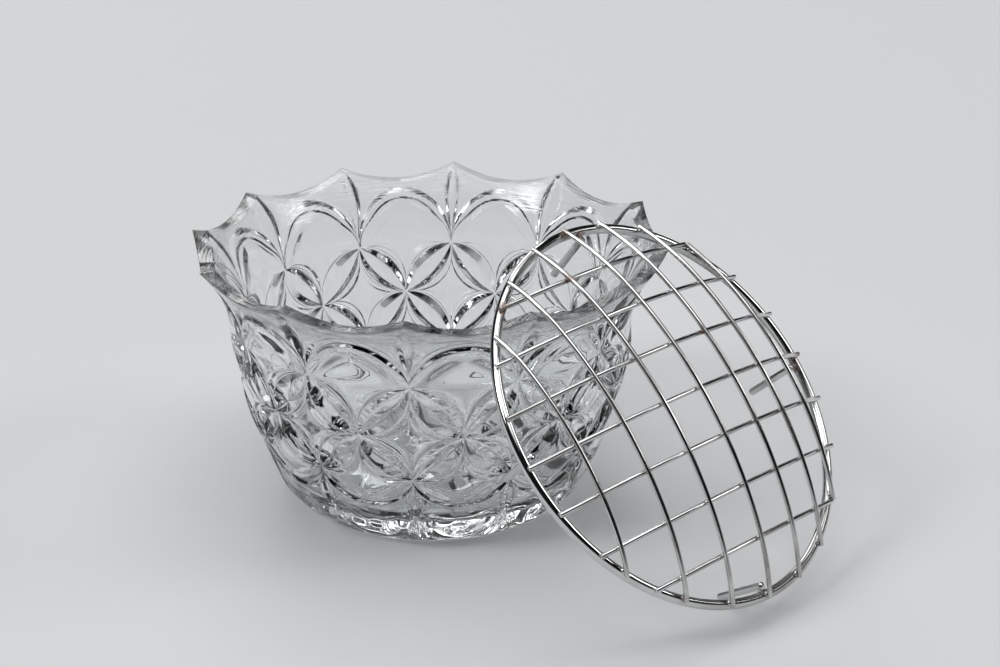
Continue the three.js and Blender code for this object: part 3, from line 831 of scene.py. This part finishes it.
def lead_crystal(finish):
    """Lead crystal, pressed in a mould and fire-polished."""
    # Clear and colourless with strong bright flashes; the mould leaves a faint waviness about 7 mm long
    material, tree = fresh("lead_crystal_pressed")
    spot = add(tree, "TexCoord").outputs["Object"]
    wave = add(tree, "TexNoise", {"Scale": 1 / (7 * MM), "Detail": 1.0}, {"Vector": spot})
    waviness = add(tree, "Bump", {"Strength": 0.08, "Distance": 0.25 * MM}, {"Height": wave.outputs["Fac"]})
    # Fine lines run round the rim, about 0.9 mm apart and some 20 times as long
    parts = add(tree, "SeparateXYZ", links={"Vector": spot})
    flat = add(tree, "VectorMath", {1: (1, 1, 0)}, {0: spot}, operation="MULTIPLY")
    out = add(tree, "VectorMath", links={0: flat.outputs["Vector"]}, operation="LENGTH")
    heading = add(tree, "VectorMath", links={0: flat.outputs["Vector"]}, operation="NORMALIZE")
    round_it = add(tree, "VectorMath", {"Scale": 4.5}, {0: heading.outputs["Vector"]}, operation="SCALE")
    height = add(tree, "Math", links={0: parts.outputs["Z"], 1: out.outputs["Value"]}, operation="ADD")
    lines = add(tree, "Math", {1: 1 / (0.9 * MM)}, {0: height.outputs["Value"]}, operation="MULTIPLY")
    across = add(tree, "CombineXYZ", links={"Z": lines.outputs["Value"]})
    along = add(
        tree, "VectorMath",
        links={0: round_it.outputs["Vector"], 1: across.outputs["Vector"]}, operation="ADD",
    )
    scratch = add(tree, "TexNoise", {"Scale": 1.0, "Detail": 2.0}, {"Vector": along.outputs["Vector"]})
    # They set in between 79 and 85 mm up
    band = add(tree, "MapRange", {"From Min": 79 * MM, "From Max": 85 * MM}, {"Value": parts.outputs["Z"]})
    bump = add(
        tree, "Bump", {"Distance": 0.3 * MM},
        {
            "Strength": band.outputs["Result"], "Height": scratch.outputs["Fac"],
            "Normal": waviness.outputs["Normal"],
        },
    )
    shader = add(
        tree, "BsdfPrincipled",
        {"Base Color": (*finish.crystal, 1), "Roughness": 0.0, "IOR": 1.54, "Transmission Weight": 1.0},
        {"Normal": bump.outputs["Normal"]},
    )
    add(tree, "OutputMaterial", links={"Surface": shader.outputs["BSDF"]})
    return material


def nickel_plate(finish, name, patch, low, high):
    """Bright nickel plate on drawn steel rod: the size of its dull patches, its least and most roughness."""
    # Mirror-like and slightly warm, dulled in patches by handling and water, browned beside the welds
    material, tree = fresh(name)
    spot = add(tree, "TexCoord").outputs["Object"]
    cloud = add(tree, "TexNoise", {"Scale": 1 / patch, "Detail": 4.0}, {"Vector": spot})
    speck = add(tree, "TexNoise", {"Scale": 1 / (1.2 * MM), "Detail": 2.0}, {"Vector": spot})
    dull = add(tree, "MapRange", {"From Min": 0.45, "From Max": 0.72}, {"Value": cloud.outputs["Fac"]})
    tint = add(
        tree, "Mix", {"A": (*finish.plate, 1), "B": (*finish.dull_plate, 1)},
        {"Factor": dull.outputs["Result"]}, data_type="RGBA",
    )
    # Brown comes in specks about 1.2 mm wide
    burn = add(tree, "Attribute", attribute_name="weld_burn")
    patchy = add(tree, "Math", links={0: burn.outputs["Fac"], 1: speck.outputs["Fac"]}, operation="MULTIPLY")
    stain = add(tree, "MapRange", {"From Min": 0.05, "From Max": 0.45}, {"Value": patchy.outputs["Value"]})
    stained = add(
        tree, "Mix", {"B": (*finish.burn, 1)},
        {"Factor": stain.outputs["Result"], "A": tint.outputs["Result"]}, data_type="RGBA",
    )
    rough = add(tree, "MapRange", {"To Min": low, "To Max": high}, {"Value": dull.outputs["Result"]})
    rougher = add(
        tree, "Math", {1: 0.3},
        {0: stain.outputs["Result"], 2: rough.outputs["Result"]}, operation="MULTIPLY_ADD",
    )
    bump = add(tree, "Bump", {"Strength": 0.15, "Distance": 0.05 * MM}, {"Height": speck.outputs["Fac"]})
    shader = add(
        tree, "BsdfPrincipled", {"Metallic": 1.0},
        {
            "Base Color": stained.outputs["Result"], "Roughness": rougher.outputs["Value"],
            "Normal": bump.outputs["Normal"],
        },
    )
    add(tree, "OutputMaterial", links={"Surface": shader.outputs["BSDF"]})
    return material


def table_paint(finish):
    """Matt paint on a smooth table."""
    # Pale and even, with no gloss of its own and a grain about 3 mm wide that hardly shows
    material, tree = fresh("table_matt_paint")
    spot = add(tree, "TexCoord").outputs["Object"]
    grain = add(tree, "TexNoise", {"Scale": 1 / (3 * MM), "Detail": 3.0}, {"Vector": spot})
    bump = add(tree, "Bump", {"Strength": 0.05, "Distance": 0.05 * MM}, {"Height": grain.outputs["Fac"]})
    shader = add(
        tree, "BsdfPrincipled",
        {"Base Color": (*finish.floor, 1), "Roughness": 0.85, "Specular IOR Level": 0.2},
        {"Normal": bump.outputs["Normal"]},
    )
    add(tree, "OutputMaterial", links={"Surface": shader.outputs["BSDF"]})
    return material


# The stage
TABLE_RADIUS, TABLE_SIDES = 12.0, 96
# Name, place, size and power of each soft lamp, and the point that all of them face
LAMPS = (
    ("key_lamp", (-2.25, -1.35, 2.55), 1.2, 42.0),
    ("side_lamp", (2.85, 0.3, 2.1), 1.05, 17.0),
    ("back_lamp", (-1.05, 3.0, 2.25), 1.5, 25.0),
)
LAMP_AIM = (0.03, -0.02, 0.05)
# Mid grey level with the table, dark higher up and bright overhead, as under a soft lamp in a dim room
LEVEL_LIGHT, ROOM_LIGHT, OVERHEAD_LIGHT = tone("#97999c"), tone("#141517"), (2.1, 2.1, 2.12)
# Where each passes into the next, from 0 level with the table to 1 straight up
ROOM_FROM, OVERHEAD_FROM = (0.06, 0.16), (0.80, 0.88)
# The photograph's camera as it was fitted: its place, its axes, and its sensor and lens in millimetres
CAMERA_AT = (0.08003, -0.700699, 0.347159)
CAMERA_RIGHT = (0.996861, 0.079112, -0.003065)
CAMERA_UP = (-0.027354, 0.380492, 0.92438)
CAMERA_FORWARD = (-0.074295, 0.921394, -0.381461)
SENSOR_WIDTH, LENS = 36, 79.2


def table(scene):
    """A wide plain table top."""
    mesh = bpy.data.meshes.new("table")
    rim = [(TABLE_RADIUS * math.cos(t), TABLE_RADIUS * math.sin(t), 0) for t in full_turn(TABLE_SIDES)]
    mesh.from_pydata(rim, [], [list(range(TABLE_SIDES))])
    mesh.materials.append(table_paint(scene.rose_finish))
    top = bpy.data.objects.new("table", mesh)
    scene.collection.objects.link(top)


def lamps(scene):
    """Soft lamps from three sides."""
    for name, at, size, watts in LAMPS:
        light = bpy.data.lights.new(name, "AREA")
        light.size = size
        light.energy = watts
        lamp = bpy.data.objects.new(name, light)
        lamp.location = at
        lamp.rotation_euler = (Vector(LAMP_AIM) - Vector(at)).to_track_quat("-Z", "Y").to_euler()
        scene.collection.objects.link(lamp)


def room(scene):
    """The light all round."""
    world = bpy.data.worlds.new("studio")
    scene.world = world
    world.use_nodes = True
    tree = world.node_tree
    tree.nodes.clear()
    sky = add(tree, "TexCoord")
    up = add(tree, "SeparateXYZ", links={"Vector": sky.outputs["Generated"]}).outputs["Z"]
    steps = []
    for low, high in (ROOM_FROM, OVERHEAD_FROM):
        step = add(tree, "MapRange", {"From Min": low, "From Max": high}, {"Value": up})
        steps.append(step.outputs["Result"])
    dim = add(
        tree, "Mix", {"A": (*LEVEL_LIGHT, 1), "B": (*ROOM_LIGHT, 1)}, {"Factor": steps[0]},
        data_type="RGBA",
    )
    shade = add(
        tree, "Mix", {"B": (*OVERHEAD_LIGHT, 1)}, {"Factor": steps[1], "A": dim.outputs["Result"]},
        data_type="RGBA",
    )
    back = add(tree, "Background", {"Strength": 1.0}, {"Color": shade.outputs["Result"]})
    add(tree, "OutputWorld", links={"Surface": back.outputs["Background"]})


def camera(scene):
    """The camera at the photograph's viewing angle."""
    lens = bpy.data.cameras.new("camera")
    lens.sensor_width = SENSOR_WIDTH
    lens.lens = LENS
    view = bpy.data.objects.new("camera", lens)
    turn = Matrix((Vector(CAMERA_RIGHT), Vector(CAMERA_UP), -Vector(CAMERA_FORWARD))).transposed().to_4x4()
    view.matrix_world = Matrix.Translation(CAMERA_AT) @ turn
    scene.collection.objects.link(view)
    scene.camera = view


# Operators
class ROSEBOWL_OT_glass(bpy.types.Operator):
    """Makes the crystal bowl with its petal pattern"""

    bl_idname = "rosebowl.glass"
    bl_label = "Crystal Bowl"

    def execute(self, context):
        scene = context.scene
        form = BowlForm(scene.rose_bowl, scene.rose_pattern)
        material = lead_crystal(scene.rose_finish)
        place("crystal_bowl", glass_mesh(form), "bowl", material, ["glass_bowl"])
        return {"FINISHED"}


class ROSEBOWL_OT_ring(bpy.types.Operator):
    """Makes the rim ring of the grid"""

    bl_idname = "rosebowl.ring"
    bl_label = "Grid Ring"

    def execute(self, context):
        grid = context.scene.rose_grid
        form = GridForm(grid)
        r, up = grid.ring_radius, Vector((0, 0, 1))
        points = [Vector((r * math.cos(t), r * math.sin(t), 0)) for t in full_turn(RING_STEPS)]
        burns = list(form.burns())
        mesh = rod_mesh("ring", form, points, grid.ring_rod, RING_SIDES, up, closed=True, stain=burns)
        material = nickel_plate(context.scene.rose_finish, "nickel_plated_rod", 22 * MM, 0.08, 0.24)
        place("ring", mesh, "grid", material, ["grid_ring"])
        return {"FINISHED"}


class ROSEBOWL_OT_wires(bpy.types.Operator):
    """Makes the upper and lower wires of the grid"""

    bl_idname = "rosebowl.wires"
    bl_label = "Grid Wires"

    def execute(self, context):
        grid = context.scene.rose_grid
        form = GridForm(grid)
        material = nickel_plate(context.scene.rose_finish, "nickel_plated_wire", 16 * MM, 0.1, 0.3)
        burns = list(form.burns())
        for upper in (True, False):
            for w in range(1, grid.wires + 1):
                node = f"{'upper' if upper else 'lower'}_wire_{w}"
                name = f"fine_{node}"
                points, flat = form.wire(w, upper)
                near = [b for b in burns if min((b[0] - p).length for p in points) < WIRE_NEAR]
                mesh = rod_mesh(
                    name, form, points, grid.wire_rod, WIRE_SIDES, flat, WIRE_CHAMFER, stain=near,
                )
                place(name, mesh, "grid", material, [node])
        return {"FINISHED"}


class ROSEBOWL_OT_pegs(bpy.types.Operator):
    """Makes the locating pegs under the ring"""

    bl_idname = "rosebowl.pegs"
    bl_label = "Pegs"

    def execute(self, context):
        grid = context.scene.rose_grid
        form = GridForm(grid)
        material = nickel_plate(context.scene.rose_finish, "nickel_plated_peg", 14 * MM, 0.1, 0.28)
        for k in range(grid.pegs):
            node = f"peg_{k + 1}"
            name = f"fine_{node}"
            top, tip, flat = form.peg(k)
            points = [top.lerp(tip, t / PEG_STEPS) for t in range(PEG_STEPS + 1)]
            near = [b for b in form.burns() if (b[0] - top).length < PEG_NEAR]
            mesh = rod_mesh(name, form, points, grid.peg_rod, PEG_SIDES, flat, PEG_CHAMFER, stain=near)
            place(name, mesh, "grid", material, [node])
        return {"FINISHED"}


class ROSEBOWL_OT_beads(bpy.types.Operator):
    """Makes the weld beads that join the rods of the grid"""

    bl_idname = "rosebowl.beads"
    bl_label = "Weld Beads"

    def execute(self, context):
        form = GridForm(context.scene.rose_grid)
        material = nickel_plate(context.scene.rose_finish, "nickel_plated_weld_bead", 3 * MM, 0.16, 0.4)
        place("weld_beads", bead_mesh("weld_beads", form), "grid", material, [])
        return {"FINISHED"}


class ROSEBOWL_OT_stage(bpy.types.Operator):
    """Makes the table, the lamps, the world and the camera"""

    bl_idname = "rosebowl.stage"
    bl_label = "Stage"

    def execute(self, context):
        scene = context.scene
        table(scene)
        lamps(scene)
        room(scene)
        camera(scene)
        scene.view_settings.view_transform = "Standard"
        return {"FINISHED"}


GROUPS = {
    "rose_bowl": RoseBowlSizes,
    "rose_pattern": RoseBowlPattern,
    "rose_grid": RoseBowlGrid,
    "rose_finish": RoseBowlFinish,
}


class ROSEBOWL_PT_panel(bpy.types.Panel):
    """Sidebar panel of the rose bowl"""

    bl_label = "Rose Bowl"
    bl_idname = "ROSEBOWL_PT_panel"
    bl_space_type = "VIEW_3D"
    bl_region_type = "UI"
    bl_category = "Rose Bowl"

    def draw(self, context):
        layout = self.layout
        for name in ("glass", "ring", "wires", "pegs", "beads", "stage"):
            layout.operator(f"rosebowl.{name}")
        for group in GROUPS:
            values = getattr(context.scene, group)
            box = layout.box()
            for key in values.__annotations__:
                box.prop(values, key)


CLASSES = (
    *GROUPS.values(),
    ROSEBOWL_OT_glass, ROSEBOWL_OT_ring, ROSEBOWL_OT_wires, ROSEBOWL_OT_pegs, ROSEBOWL_OT_beads,
    ROSEBOWL_OT_stage, ROSEBOWL_PT_panel,
)


def register():
    for cls in CLASSES:
        bpy.utils.register_class(cls)
    for name, group in GROUPS.items():
        setattr(bpy.types.Scene, name, PointerProperty(type=group))


def unregister():
    for name in GROUPS:
        delattr(bpy.types.Scene, name)
    for cls in reversed(CLASSES):
        bpy.utils.unregister_class(cls)


def main():
    register()
    bpy.ops.rosebowl.glass()
    bpy.ops.rosebowl.ring()
    bpy.ops.rosebowl.wires()
    bpy.ops.rosebowl.pegs()
    bpy.ops.rosebowl.beads()
    bpy.ops.rosebowl.stage()
    bpy.context.view_layer.update()


if __name__ == "__main__":
    main()
